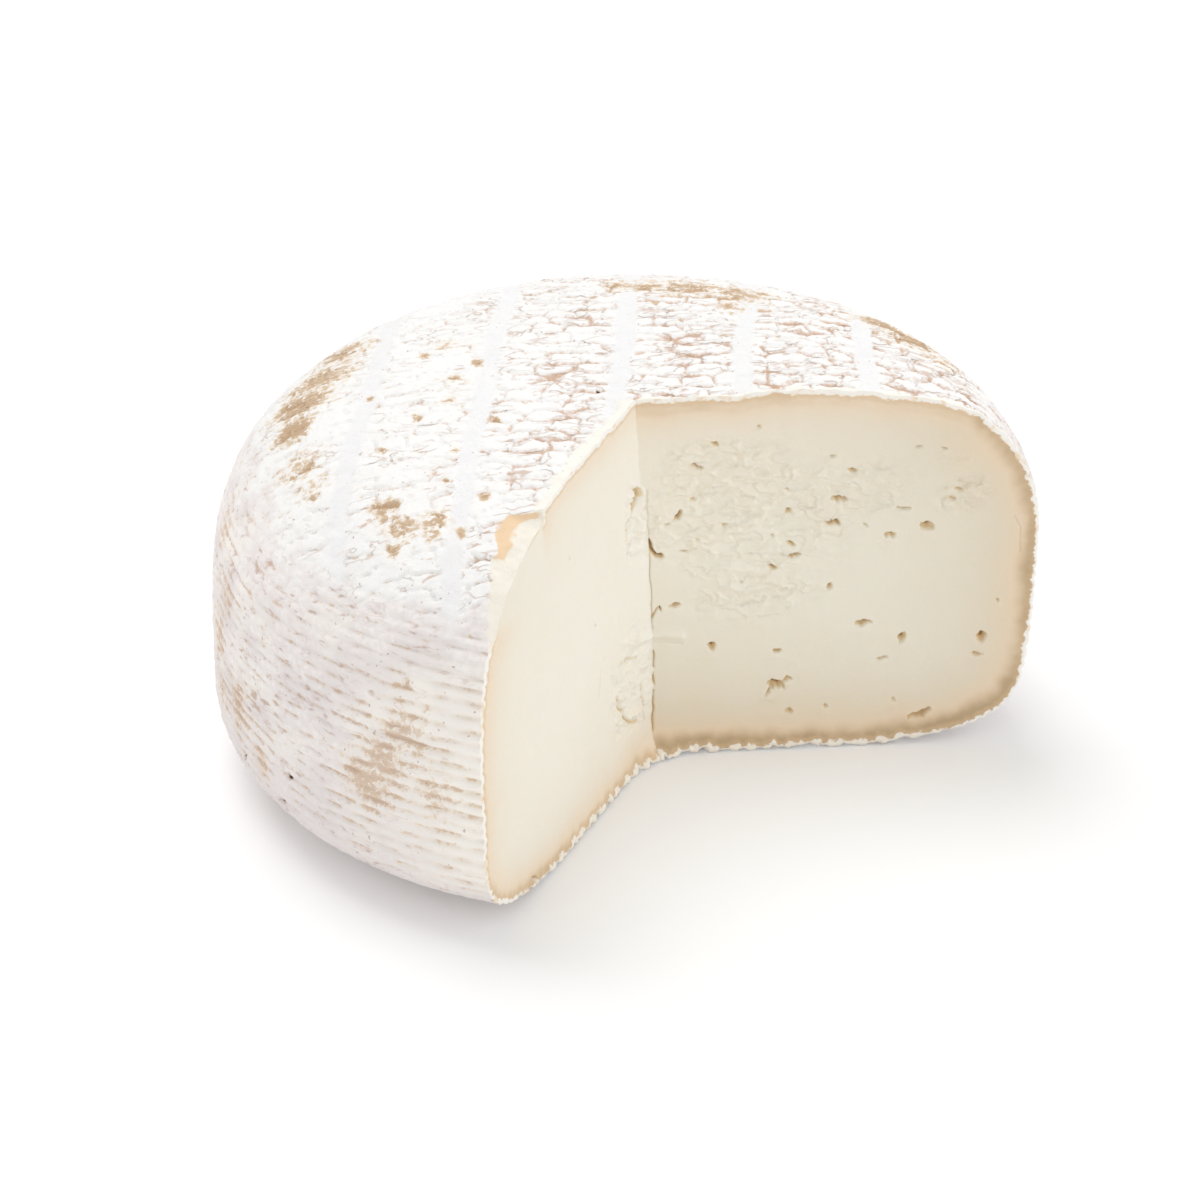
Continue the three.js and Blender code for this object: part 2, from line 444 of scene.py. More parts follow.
def rind_relief(p, turn, out):
    """How far the rind stands out, in mm, and the shares its colours need."""
    radius = np.maximum(np.hypot(p[:, 0], p[:, 1]), 1e-6)
    run = run_at(radius, p[:, 2])
    from_left, from_right = off_cut(LEFT - turn, out), off_cut(turn, out)
    blurred = run + 7.5 * noise(p, 15, 50) + 3.0 * noise(p, 5, 52)
    on_top = smooth(blurred, WHOLE_RUN - 106, WHOLE_RUN - 84)
    on_base = 1 - smooth(run, BASE_EDGE + 3, BASE_EDGE + 10)
    on_wall = (1 - on_top) * (1 - on_base)
    across, along = flattened(p, run, radius)
    worn = worn_at(p, across)
    top_clear, top_band = weave(across, along, np.clip(worn, 0.05, 1), 1)
    base_clear, base_band = weave(across * 1.02 + 9, along * 1.02 + 4, np.full(len(p), 0.8), 4)
    wall = ribs(p, run)

    rim = 1 - (1 - bloomed_edge(p, from_left, from_right)) * on_top
    chip, chip_across = chip_at(p, out, from_left)
    whole = 1 - chip
    top = 0.8 * (1 - top_band) * (smooth(top_clear, 0, 0.55) - 1) - 0.2 * top_band
    top = (top * rim + (0.25 + 0.6 * noise(p, 4.5, 55)) * (1 - rim)) * whole
    base = (1 - base_band) * (smooth(base_clear, 0, 0.6) - 1) - 0.5 * base_band
    side = 0.35 + 0.45 * smooth(noise(p, 18, 43), -0.6, 0.6) + 0.3 * np.exp(-from_left / 22)
    side = (wall - 1) * side * whole
    lumps = 0.25 + 0.45 * noise(p, 62, 40) + 0.4 * noise(p, 22, 41)
    folds = 0.25 * (1 - np.abs(noise(p * (0.5, 1, 1), 7, 51))) ** 4 * on_top
    grit = 0.17 * fractal(p, 3.4, 3, 42) * whole
    rise = on_top * top + on_base * base + on_wall * side
    rise = rise + (1 - on_base) * (lumps + grit + folds) * smooth(p[:, 2], 0, 9)
    near_cut = 1 - smooth(np.minimum(from_left, from_right), 1.0, 4.5)
    rise = rise - 0.55 * (1 - beads(out)) * near_cut * (1 - smooth(p[:, 2], 0.5, 6))

    stain, pit = stain_at(p), pit_at(p)
    rise = rise - 0.2 * np.clip(stain, 0, 1) - 1.2 * smooth(pit, 0.3, 0.7)
    rise = rise - chip * (0.4 + 2.0 * (1 - chip_across) + 0.3 * noise(p, 4.0, 63))

    bare = on_top * worn + on_wall * (0.45 + 0.5 * noise(p, 16, 49)) + on_base * 0.7
    groove = (on_top * (1 - top_clear) * (1 - top_band) * rim
              + on_base * (1 - base_clear) * (1 - base_band) + 0.95 * on_wall * (1 - wall))
    tanned = 0.2 + 0.95 * smooth(chip_across, 0.3, 0.7)
    tanned = tanned * smooth(p[:, 2] + 0.8 * noise(p, 3, 65), 84.5, 86.5)
    creamy = np.exp(-(from_left / 25) ** 2) * smooth(p[:, 2], 4, 18) * (1 - smooth(p[:, 2], 58, 76))
    return rise, {
        "groove": np.clip(groove, 0, 1),
        "band": on_top * top_band * rim + on_base * base_band,
        "wall": on_wall,
        "stain": np.clip(stain, 0, 1.5),
        "pit": pit,
        "rim": 1 - rim,
        "chip": chip,
        "tanned": np.clip(tanned, 0, 1),
        "creamy": creamy,
        # Painted shade: the wall darker towards the base.
        "lower": (1 - smooth(p[:, 2], 6, 42)) * (1 - creamy),
        "bare": np.clip(bare, 0, 1.3),
    }


# ---------------------------------------------------------------- the cut faces' relief

# Eyes of the right face: out, height, length, width, tilt in degrees
RIGHT_EYES = (
    (51, 73, 3.0, 1.3, -10), (47.5, 66, 4.8, 1.9, -22), (46, 60, 4.6, 1.5, -10), (60, 56, 2.4, 1.5, 0),
    (69, 58, 3.8, 2.3, 8), (35.5, 63.5, 2.4, 1.7, -20), (8.5, 64, 3.6, 1.3, 45), (18, 82, 2.4, 1.1, -30),
    (36.5, 52, 3.8, 1.3, 0), (7, 41, 3.0, 1.4, 20), (16, 29.5, 2.8, 2.2, 60), (32, 27, 3.2, 1.6, 10),
    (53.5, 33.5, 3.8, 2.0, 5), (63, 29, 3.6, 1.6, 60), (83, 28, 3.0, 2.4, 80), (45, 43.5, 2.6, 1.4, 60),
    (35, 10.5, 2.2, 1.5, 20), (13.5, 76.5, 3.6, 1.0, -25), (63.5, 63, 3.6, 0.8, 0), (36, 55, 3.0, 1.1, 0),
    (31.5, 49.5, 4.2, 1.3, 5), (82, 23.7, 3.2, 1.0, 0), (31.7, 18, 5.2, 2.8, -15),
    (29.6, 16.0, 3.2, 1.3, 60), (34.4, 19.3, 2.8, 1.2, 20), (68, 8, 6.6, 2.1, 20), (58, 23.5, 3.4, 0.9, 0),
    (87, 37.5, 1.3, 1.3, 0), (43.5, 11.5, 1.8, 1.3, 0), (61, 12, 1.4, 1.1, 0), (12, 68, 1.4, 1.0, 0),
    (13, 57.5, 1.5, 0.9, -20), (9.5, 55, 1.8, 0.8, 0), (31.5, 57, 1.5, 0.8, 0), (35, 69, 1.3, 0.9, 0),
    (54, 59, 1.4, 0.8, 0), (28.7, 86, 1.8, 0.7, 0), (46, 77, 1.7, 0.7, 0), (67, 78, 1.6, 0.7, 0),
    (72.5, 77.5, 1.5, 0.7, 0), (6.3, 62, 1.4, 0.8, 0), (76.5, 66.5, 2.2, 0.9, 15), (75, 64.5, 1.8, 0.8, 0),
    (24, 46, 1.6, 0.9, 0), (20, 61, 1.6, 0.9, 10), (26, 53, 1.5, 0.8, -10),
)

LEFT_EYES = (
    (13.4, 31.6, 2.6, 0.9, -35), (39, 72.7, 1.4, 0.6, 20), (28, 50, 1.3, 0.6, 10), (67, 3.8, 3.0, 1.4, 30),
)

# Cracks and torn edges: the places they pass (out, height), half width, depth; a ridge has a depth below 0
RIGHT_CRACKS = (
    (((-0.6, 59.2), (0.2, 57.8), (0.9, 55.6), (2.4, 54.2), (4.2, 53.9)), 0.75, 2.4),
    (((0.3, 37.5), (1.0, 39.0), (2.2, 40.3), (3.2, 40.8)), 0.3, 1.0),
    (((3.0, 40.4), (3.4, 40.0)), 0.45, 1.6),
    (((0.1, 72), (0.2, 66), (0.25, 60)), 0.25, 0.45),
    (((0.3, 55), (0.3, 46), (0.4, 40), (0.2, 35)), 0.25, 0.6),
    (((0.0, 29), (0.3, 27), (0.1, 24.5)), 0.4, 1.0),
    (((0.0, 22.8), (0.35, 21.5), (0.2, 20)), 0.45, 1.1),
    (((0.1, 17.9), (0.4, 13), (0.3, 7)), 0.4, 1.0),
    (((14, 69.5), (18, 72.5), (22.5, 74), (29, 73), (36, 73.6)), 0.8, -0.75),
    (((10, 60.5), (18, 62.4), (27, 61.2)), 0.8, -0.6),
    (((4, 75), (10, 76.6), (17, 75.4)), 0.7, -0.45),
    (((18, 46), (24, 43.5), (33, 44.6), (38, 43)), 0.9, -0.6),
    (((12, 49), (19, 50.4), (27, 48.6)), 0.8, -0.55),
    (((0.3, 33.2), (4, 33.4), (8.5, 32.6)), 1.0, -1.0),
    (((0.2, 31.0), (4, 31.2), (8.4, 30.4)), 0.35, 0.3),
    (((90.5, 59), (92, 56), (92.2, 50)), 0.25, 0.3),
    (((72, 74.4), (76, 73.6), (79, 73.9)), 0.4, -0.35),
)

LEFT_CRACKS = (
    (((1.8, 72.4), (3.0, 70.6)), 1.0, 1.1),
    (((3.0, 70.6), (4.2, 68.2)), 0.85, 1.0),
    (((4.2, 68.2), (5.4, 65.4)), 0.65, 0.85),
    (((5.4, 65.4), (6.8, 61.6)), 0.45, 0.7),
    (((1.2, 71), (1.6, 66), (2.4, 60)), 1.0, -0.7),
    (((17, 25.3), (15.4, 20.5), (13.2, 17), (9.8, 14.2), (6.4, 12.8)), 0.5, 0.8),
    (((24.3, 39.1), (26.2, 35.5), (27.4, 30.6)), 0.5, 0.45),
    (((16, 26.5), (14.0, 21.5), (11.4, 17.6), (8, 15.6)), 0.9, -0.5),
    (((0.4, 33.2), (4, 34.2), (9, 36.0), (13, 38.2)), 1.1, -0.9),
    (((5, 29.6), (9, 31.2), (13.4, 31.6)), 0.45, 0.5),
    (((3.2, 22), (4.4, 17.5), (3.0, 11)), 0.45, 0.6),
    (((53.5, 87.5), (56.5, 86.2), (59.3, 85.8)), 0.6, 0.7),
)

# Where the paste tore instead of slicing: out, height, how far across and up it spreads
RIGHT_TORN = ((26, 62, 30, 20), (18, 76, 18, 8), (26, 42, 16, 8), (52, 68, 14, 8), (78, 65, 8, 5))
LEFT_TORN = ((11, 27, 13, 16), (4, 64, 5, 12))


def line_distance(h, v, line):
    """Each place's distance from a line of points on a face."""
    best = np.full(len(h), 1e9)
    for (h0, v0), (h1, v1) in zip(line[:-1], line[1:]):
        dh, dv = h1 - h0, v1 - v0
        share = np.clip(((h - h0) * dh + (v - v0) * dv) / max(dh * dh + dv * dv, 1e-9), 0, 1)
        best = np.minimum(best, (h - h0 - share * dh) ** 2 + (v - v0 - share * dv) ** 2)
    return np.sqrt(best)


def eye_reach(h, v, eye):
    """How far from an eye's middle a place is, as a share of the eye's own size."""
    at, up, length, width, tilt = eye
    c, s = math.cos(math.radians(tilt)), math.sin(math.radians(tilt))
    a, b = (h - at) * c + (v - up) * s, (v - up) * c - (h - at) * s
    return np.hypot(a / (length / 2), b / (width / 2))


def near_detail(h, v, eyes, cracks, torn):
    """Where the face needs its finer net."""
    near = np.zeros(len(h), bool)
    for at, up, across, tall in torn:
        near |= np.hypot((h - at) / across, (v - up) / tall) < 0.8
    for eye in eyes:
        room = 1 + 1.3 / min(eye[2], eye[3])
        near |= eye_reach(h, v, eye) < room + 0.4
    for line, width, _ in cracks:
        near |= line_distance(h, v, line) < 2.2 * width + 0.6
    return near


def torn_relief(here, wobble, torn, seed):
    """The flakes, creases and wrinkles of torn paste, and how torn each place is, 0 to 1."""
    rough = np.zeros(len(here))
    for at, up, across, tall in torn:
        away = np.hypot((here[:, 0] - at) / across, (here[:, 1] - up) / tall)
        rough = np.maximum(rough, 1 - smooth(away + 0.35 * noise(here, 7, seed + 5), 0.5, 1.15))
    layers = in_space(wobble[:, 0] * 0.5, wobble[:, 1], 3.0 * seed)
    level = 1.6 * fractal(layers, 4.2, 2, seed + 6)
    flakes = np.floor(level) + smooth(level - np.floor(level), 0.7, 1.0) - level * 0.6
    crease = (1 - np.abs(noise(wobble * (0.36, 1, 1), 5.4, seed + 13))) ** 6
    wrinkle = (1 - np.abs(noise(wobble * (0.38, 1, 1), 2.2, seed + 14))) ** 4
    patchy = smooth(noise(here, 9, seed + 15), -0.5, 0.5)
    return rough * (0.9 * flakes + 0.9 * crease + 0.45 * patchy * wrinkle - 0.5), rough


def eye_relief(here, wobble, eyes, seed):
    """The hollows of the eyes, each with a low lip under it, and how much of an eye each place is."""
    rise, pore = np.zeros(len(here)), np.zeros(len(here))
    ragged = 0.22 * noise(here, 0.9, seed + 16)
    for eye in eyes:
        at, up, length, width, _ = eye
        away = eye_reach(wobble[:, 0], wobble[:, 1], eye) * 1.12 + ragged
        size = math.sqrt(length * width)
        rise = rise - min(0.95 * size, 3.2) * np.clip(1 - away ** 2.4, 0, 1) ** 0.6
        drop = (here[:, 1] - up + 0.8 * width + 0.4) / (0.6 * width + 0.3)
        lip = np.exp(-((here[:, 0] - at) / (0.75 * length)) ** 2 - drop ** 2)
        rise = rise + 0.25 * lip * (away > 1)
        pore = np.maximum(pore, np.clip(1.25 - away, 0, 1) * min(1.0, 0.15 + size / 2.8))
    return rise, pore


def crack_relief(here, wobble, cracks):
    """The gashes of the cracks and the ridges beside them, and how much of a crack each place is."""
    rise, pore = np.zeros(len(here)), np.zeros(len(here))
    place = 0.75 * here + 0.25 * wobble
    for line, width, depth in cracks:
        away = line_distance(place[:, 0], place[:, 1], line) / width
        if depth > 0:
            gash = 1 - smooth(away, 0.35, 1.25)
            rise = rise - depth * gash
            pore = np.maximum(pore, gash * min(0.9, depth / 1.5))
        else:
            rise = rise - depth * np.exp(-away ** 2)
    return rise, pore


def face_relief(h, v, eyes, cracks, torn, seed):
    """How far a cut face stands out, in mm, and the shares its colours need."""
    here = in_space(h, v, 7.0 * seed)
    aside, upward = 0.75 * fractal(here, 2.6, 2, seed + 1), 0.55 * fractal(here, 2.6, 2, seed + 2)
    wobble = in_space(h + aside, v + upward, 7.0 * seed)
    flow = 0.28 * noise(here * (0.6, 1, 1), 22, seed + 3) + 0.1 * noise(here * (1, 0.3, 1), 6, seed + 4)
    grain = 0.06 * fractal(wobble * (0.5, 1, 1), 1.8, 2, seed + 10)
    tears, rough = torn_relief(here, wobble, torn, seed)
    hollows, pore = eye_relief(here, wobble, eyes, seed)
    gashes, gash_pore = crack_relief(here, wobble, cracks)
    return flow + tears + grain + hollows + gashes, np.maximum(pore, gash_pore), rough


def corner_shift(v):
    """How far the paste's inner corner is to the right of the cut line: the two cuts don't quite meet."""
    below = 1.35 * (1 - smooth(v, 72.3, 73.3)) * smooth(v, 0, 30)
    above = 0.3 * smooth(v, 72.3, 73.3) * (1 - smooth(v, 84, 92))
    ragged = 0.25 * noise(in_space(v * 0, v), 3.0, 51) * smooth(v, 1, 6) * (1 - smooth(v, 86, 91))
    return below + above + ragged


# ---------------------------------------------------------------- meshing

class Skin:
    """The mesh as it grows: points, triangles with their part of the wheel, UVs, and the colours' shares."""

    def __init__(self):
        self.points, self.faces, self.parts, self.uvs, self.looks = [], [], [], [], []
        self.count = 0

    def add(self, points, looks=None):
        first = self.count
        self.points.append(points)
        self.looks.append((first, len(points), looks or {}))
        self.count += len(points)
        return np.arange(first, self.count)

    def triangles(self, faces, part, uv):
        self.faces.append(faces)
        self.parts.append(np.full(len(faces), part))
        self.uvs.append(uv)

    def look(self, name):
        values = np.zeros(self.count)
        for first, size, looks in self.looks:
            if name in looks:
                values[first:first + size] = looks[name]
        return values


RIND, RIGHT_FACE, LEFT_FACE = 0, 1, 2
ROW_HEIGHT = 0.866  # of a triangular net, as a share of its step


def net(low, high, step, seed):
    """Points of a slightly shaken triangular net that covers a box."""
    nx = int((high[0] - low[0]) / step) + 2
    ny = int((high[1] - low[1]) / (step * ROW_HEIGHT)) + 2
    j, i = np.mgrid[0:ny, 0:nx]
    x, y = (i + 0.5 * (j % 2)) * step + low[0], j * step * ROW_HEIGHT + low[1]
    points = np.stack([x, y], -1).reshape(-1, 2)
    return points + np.random.default_rng(seed).uniform(-0.07, 0.07, points.shape) * step


def inside(points, loop):
    """Which points are inside a closed loop."""
    result = np.zeros(len(points), bool)
    order = np.argsort(points[:, 1])
    x, y = points[order, 0], points[order, 1]
    hit = np.zeros(len(points), bool)
    for a, b in zip(loop, np.roll(loop, -1, axis=0)):
        low, high = (a, b) if a[1] < b[1] else (b, a)
        i, j = np.searchsorted(y, [low[1], high[1]])
        if j > i:
            hit[i:j] ^= x[i:j] < (high[0] - low[0]) * (y[i:j] - low[1]) / (high[1] - low[1]) + low[0]
    result[order] = hit
    return result


def graded(loop, low, high, coarse, fine, needs_fine, seed):
    """Points inside a loop, on a coarse net, and on a fine one where that is needed."""
    kept = []
    for step, is_fine in ((coarse, False), (fine, True)):
        points = net(low, high, step, seed + is_fine)
        points = points[inside(points, loop)]
        away = distance_to(points, loop)
        kept.append(points[(needs_fine(points, away) == is_fine) & (away > 0.55 * step)])
    return np.vstack(kept)


def distance_to(points, line):
    """Each point's distance from a line of points, closely spaced."""
    best = np.full(len(points), 1e9)
    for k in range(0, len(line), 60):
        some = line[k:k + 60]
        away = (points[:, None, 0] - some[None, :, 0]) ** 2 + (points[:, None, 1] - some[None, :, 1]) ** 2
        best = np.minimum(best, away.min(1))
    return np.sqrt(best)


def fill(loop, inner):
    """Triangles that fill a loop, with the inner points used. The loop's points are numbered first."""
    points = [Vector(q) for q in np.vstack([loop, inner]).tolist()]
    made = delaunay_2d_cdt(points, [], [list(range(len(loop)))], 1, 1e-6)
    source = np.array([origin[0] if origin else -1 for origin in made[3]])
    faces = source[np.array(made[2])]
    everything = np.vstack([loop, inner])
    a, b, c = (everything[faces[:, k]] for k in range(3))
    area = (b[:, 0] - a[:, 0]) * (c[:, 1] - a[:, 1]) - (b[:, 1] - a[:, 1]) * (c[:, 0] - a[:, 0])
    faces[area < 0] = faces[area < 0][:, ::-1]
    return faces


def raised(turn, out, height, n_out, n_up):
    """Rind points moved by the rind's relief, with the move kept in each point's own upright plane."""
    rise, looks = rind_relief(point(turn, out, height), turn, out)
    new_out, new_height = out + n_out * rise, np.maximum(height + n_up * rise, 0)
    return new_out, new_height, looks


def wall_grid():
    """The wall, from the ring on the base to the ring on the top: turn, out and height, by row."""
    first = np.interp(BASE_RING, SECTION_R[:WIDEST], SECTION_RUN[:WIDEST])
    last = np.interp(-TOP_RING, -SECTION_R[WIDEST:], SECTION_RUN[WIDEST:])
    run = np.linspace(first, last, int((last - first) / ROW_STEP))
    r, z = np.interp(run, SECTION_RUN, SECTION_R), np.interp(run, SECTION_RUN, SECTION_Z)
    turn = np.linspace(RIGHT, LEFT, int(LEFT * RADIUS / COLUMN_STEP))
    turn, r = np.meshgrid(turn, r)
    z = np.repeat(z[:, None], turn.shape[1], 1)
    return turn, reach(turn, z, r), z, run


def add_wall(skin):
    """The wall's points and triangles. Gives its grid of point numbers, and each point's out and height."""
    turn, out, height, run = wall_grid()
    d_out, d_up = np.gradient(out, axis=0), np.gradient(height, axis=0)
    size = np.hypot(d_out, d_up)
    flat = [a.ravel() for a in (turn, out, height, d_up / size, -d_out / size)]
    new_out, new_height, looks = raised(*flat)
    ids = skin.add(point(flat[0], new_out, new_height), looks).reshape(turn.shape)
    strip = LEFT * RADIUS / STRIPS
    u = turn * RADIUS
    v = np.repeat((run - run[0])[:, None], turn.shape[1], 1)
    plan = np.stack([u, v], -1).reshape(-1, 2)
    flat_ids = np.arange(ids.size).reshape(ids.shape)
    a, b, c, d = flat_ids[:-1, :-1], flat_ids[:-1, 1:], flat_ids[1:, 1:], flat_ids[1:, :-1]
    faces = np.concatenate([np.stack([a, b, c], -1).reshape(-1, 3), np.stack([a, c, d], -1).reshape(-1, 3)])
    uv = plan[faces]
    part = np.clip((uv[:, :, 0].mean(1) // strip).astype(int), 0, STRIPS - 1)
    uv[:, :, 0] += (SHEET_MARGIN + part * (STRIP_PITCH - strip))[:, None]
    uv[:, :, 1] += SHEET_MARGIN
    skin.triangles(ids.ravel()[faces], RIND, uv)
    return ids, new_out.reshape(ids.shape), new_height.reshape(ids.shape), out, height


def edge_points(turn, far, step, height_at):
    """Places along a cut's edge across the top or the base, from near the cut line to near the wall."""
    out = np.linspace(0, far, int(far / step) + 1)[1:-1]
    height = np.full_like(out, height_at(16.0))
    for _ in range(5):
        where = point(turn, out, height)
        height = height_at(np.hypot(where[:, 0], where[:, 1]))
    return out, height


def flat_lean(turn, out, height, height_at):
    """The way out of the top or the base, within the upright plane of each turn."""
    where = point(turn, out, height)
    radius = np.maximum(np.hypot(where[:, 0], where[:, 1]), 1e-6)
    slope = (height_at(radius + 0.05) - height_at(radius - 0.05)) / 0.1
    slope = slope * (where[:, 0] * np.cos(turn) + where[:, 1] * np.sin(turn)) / radius
    return -slope, np.ones_like(slope)


def add_cap(skin, height_at, end_height, ring_ids, ring_turn, ring_out, ring_height, step, seed, corner):
    """The top or the base inside its ring: its two cut edges and its inner points and triangles."""
    upper = end_height > 0
    sign = 1 if upper else -1
    edges = []
    for turn, far in ((RIGHT, ring_out[0]), (LEFT, ring_out[-1])):
        out, height = edge_points(turn, far, 0.5, height_at)
        turns = np.full_like(out, turn)
        n_out, n_up = flat_lean(turns, out, height, height_at)
        new_out, new_height, looks = raised(turns, out, height, sign * n_out, sign * n_up)
        ids = skin.add(point(turns, new_out, new_height), looks)
        edges.append((out, height, ids, new_out, new_height))
    plan = [cut_line(np.array([end_height]))]
    plan.append(point(RIGHT, edges[0][0], edges[0][1])[:, :2])
    plan.append(point(ring_turn, ring_out, ring_height)[:, :2])
    plan.append(point(LEFT, edges[1][0], edges[1][1])[::-1, :2])
    loop = np.vstack(plan)
    loop_ids = np.concatenate([[corner], edges[0][2], ring_ids, edges[1][2][::-1]])
    cuts = np.vstack([plan[1], plan[3]])
    near_cut = lambda points, away: (away < 5) & (distance_to(points, cuts) < 4)
    points = graded(loop, (-RADIUS, -RADIUS), (RADIUS, RADIUS), step, 0.5, near_cut, seed)
    height = height_at(np.hypot(points[:, 0], points[:, 1]))
    away = points - cut_line(height)
    turn = np.mod(np.arctan2(away[:, 1], away[:, 0]), 2 * math.pi)
    out = np.hypot(away[:, 0], away[:, 1])
    n_out, n_up = flat_lean(turn, out, height, height_at)
    new_out, new_height, looks = raised(turn, out, height, sign * n_out, sign * n_up)
    ids = np.concatenate([loop_ids, skin.add(point(turn, new_out, new_height), looks)])
    faces = fill(loop, points)
    everything = np.vstack([loop, points])
    uv = everything[faces] + (TOP_AT if upper else BASE_AT)
    if not upper:
        faces, uv = faces[:, ::-1], uv[:, ::-1]
    skin.triangles(ids[faces], RIND, uv)
    return edges


def ripening(points, rind, part, seed):
    """How ripe the paste is close to the rind, for the top's, the wall's and the base's rind, and how much
    painted shade darkens it near the wall and the base.
    """
    h, v = points[:, 0], points[:, 1]
    steep = np.abs(np.gradient(rind[:, 0])) < np.abs(np.gradient(rind[:, 1]))
    on_wall = steep & (rind[:, 0] > 60)
    d_wall = distance_to(points, rind[on_wall])
    d_top = distance_to(points, rind[~on_wall & (rind[:, 1] > 50)])
    d_base = distance_to(points, rind[~on_wall & (rind[:, 1] < 50)])
    ragged = 1 + 0.25 * noise(in_space(h, v, seed), 12, seed + 12)
    # The ripe bands are wider at the wall and the base than at the top, partly as painted shade near the
    # floor.
    ripe = np.maximum.reduce([
        np.minimum(1.2 * np.exp(-d_top / (3.4 * ragged)), 0.4) + 0.16 * np.exp(-d_top / 14),
        0.88 * np.exp(-(d_wall / (6.0 * ragged)) ** 1.3) + 0.12 * np.exp(-d_wall / 18),
        1.12 * np.exp(-(d_base / (5.6 * ragged)) ** 1.2) + 0.13 * np.exp(-d_base / 16),
    ])
    # Painted shade: the paste darkened towards the wall and the base.
    dull = np.maximum(1.15 * np.exp(-d_wall / 26), 1.2 * np.exp(-d_base / 19))
    ripe_share, painted_shade_share = (1, 1) if part == RIGHT_FACE else (0.64, 0.3)
    return ripe * ripe_share, np.clip(dull * painted_shade_share, 0, 1)


def add_face(skin, turn, part, loop, loop_ids, rind_count, eyes, cracks, torn, seed, uv_at):
    """A cut face that fills its outline: first the rind's points of it, then the inner corner's."""
    detail = lambda points, away: near_detail(points[:, 0], points[:, 1], eyes, cracks, torn) | (away < 1.6)
    points = graded(loop, (-1, -1), (130, 104), FACE_STEP, FINE_STEP, detail, seed)
    h, v = points[:, 0], points[:, 1]
    rise, pore, rough = face_relief(h, v, eyes, cracks, torn, seed)
    rind = loop[:rind_count]
    depth = distance_to(points, rind)
    ripe, dull = ripening(points, rind, part, seed)
    bead, low = beads(h), 1 - smooth(v, 3, 6)
    peel = smooth(h, 50, 53) * smooth(v, 70, 76) * (part == LEFT_FACE)
    rise = rise * smooth(depth, 0.1, 1.4) * smooth(h, 0.0, 0.25)
    rise = rise + (0.25 + 0.45 * bead * low) * (1 - peel) * np.exp(-((depth - 0.8) / 0.7) ** 2)
    ripe = ripe * (1 - 0.9 * peel)
    depth = np.maximum(depth + low * (0.25 - 1.15 * bead), 0)
    hold = 1 - smooth(h, 0.0, 6.5 if part == LEFT_FACE else 5.0)
    shift = corner_shift(v) * hold
    normal = np.array([math.sin(turn), -math.cos(turn), 0]) * (1 if part == RIGHT_FACE else -1)
    place = point(np.full_like(h, turn), h, v) + rise[:, None] * normal + shift[:, None] * (1, 0, 0)
    # The left face gets a share of painted light, which makes its paste paler.
    looks = {"depth": np.clip(depth, 0, 30), "ripe": ripe, "dull": dull, "pore": pore, "torn": rough,
             "peel": peel, "fresh": np.full(len(h), float(part == LEFT_FACE))}
    ids = np.concatenate([loop_ids, skin.add(place, looks)])
    faces = fill(loop, points)
    uv = np.vstack([loop, points])[faces] * FACE_SCALE + uv_at
    if part == LEFT_FACE:
        faces, uv = faces[:, ::-1], uv[:, ::-1]
    skin.triangles(ids[faces], part, uv)


def add_corner(skin, low, high):
    """The points of the line where the cuts meet, from the base to the top."""
    v = np.linspace(low, high, int((high - low) / 0.35))
    depth = np.minimum(v, HEIGHT - v)
    place = point(0.0, v * 0, v) + corner_shift(v)[:, None] * (1, 0, 0)
    ripe = np.minimum(1.2 * np.exp(-(HEIGHT - v) / 3.4), 0.4) + 0.16 * np.exp(-(HEIGHT - v) / 14)
    ripe = ripe + 0.9 * np.exp(-v / 5)
    ids = skin.add(place, {"depth": depth, "ripe": np.clip(ripe, 0, 1), "pore": v * 0, "torn": v * 0 + 0.5})
    return ids, v


def build_skin():
    skin = Skin()
    wall, wall_out, wall_height, plain_out, plain_height = add_wall(skin)
    turn = np.linspace(RIGHT, LEFT, wall.shape[1])
    top_end = float(top_height(np.hypot(*CUT_TOP)))
    sample = point(np.array([0.0, 0.0]), np.array([0.0, 0.0]), np.array([0.0, top_end]))
    rise, _ = rind_relief(sample, np.array([0.6, 0.6]), np.array([9.0, 9.0]))
    corner, corner_v = add_corner(skin, 0.0, top_end + rise[1])
    top = add_cap(skin, top_height, top_end, wall[-1], turn, plain_out[-1], plain_height[-1],
                  TOP_STEP, 3, corner[-1])
    flat = lambda r: np.zeros_like(np.asarray(r, float))
    base = add_cap(skin, flat, 0.0, wall[0], turn, plain_out[0], plain_height[0], BASE_STEP, 4, corner[0])
    cuts = (
        (RIGHT, RIGHT_FACE, 0, 0, RIGHT_EYES, RIGHT_CRACKS, RIGHT_TORN, 70, RIGHT_AT),
        (LEFT, LEFT_FACE, -1, 1, LEFT_EYES, LEFT_CRACKS, LEFT_TORN, 90, LEFT_AT),
    )
    for turn_at, part, column, side, eyes, cracks, torn, seed, uv_at in cuts:
        low, high = base[side], top[side]
        outs = np.concatenate([low[3], wall_out[:, column], high[3][::-1], corner_v[::-1] * 0])
        heights = np.concatenate([low[4], wall_height[:, column], high[4][::-1], corner_v[::-1]])
        ids = np.concatenate([low[2], wall[:, column], high[2][::-1], corner[::-1]])
        loop = np.stack([outs, heights], -1)
        rind_count = len(loop) - len(corner_v)
        add_face(skin, turn_at, part, loop, ids, rind_count, eyes, cracks, torn, seed, uv_at)
    return skin


def closed_edges(faces, parts):
    """Checks that the skin is closed, and gives the edges where the rind, or the other face, begins."""
    corners = np.concatenate([faces[:, [0, 1]], faces[:, [1, 2]], faces[:, [2, 0]]])
    owner = np.tile(parts, 3)
    keys = corners.min(1) * 10 ** 7 + corners.max(1)
    order = np.argsort(keys, kind="stable")
    keys, owner = keys[order], owner[order]
    if len(keys) % 2 or (keys[::2] != keys[1::2]).any():
        counts = np.unique(keys, return_counts=True)[1]
        raise ValueError(f"the wheel's skin is open at {(counts != 2).sum()} edges")
    return keys[::2][owner[::2] != owner[1::2]]


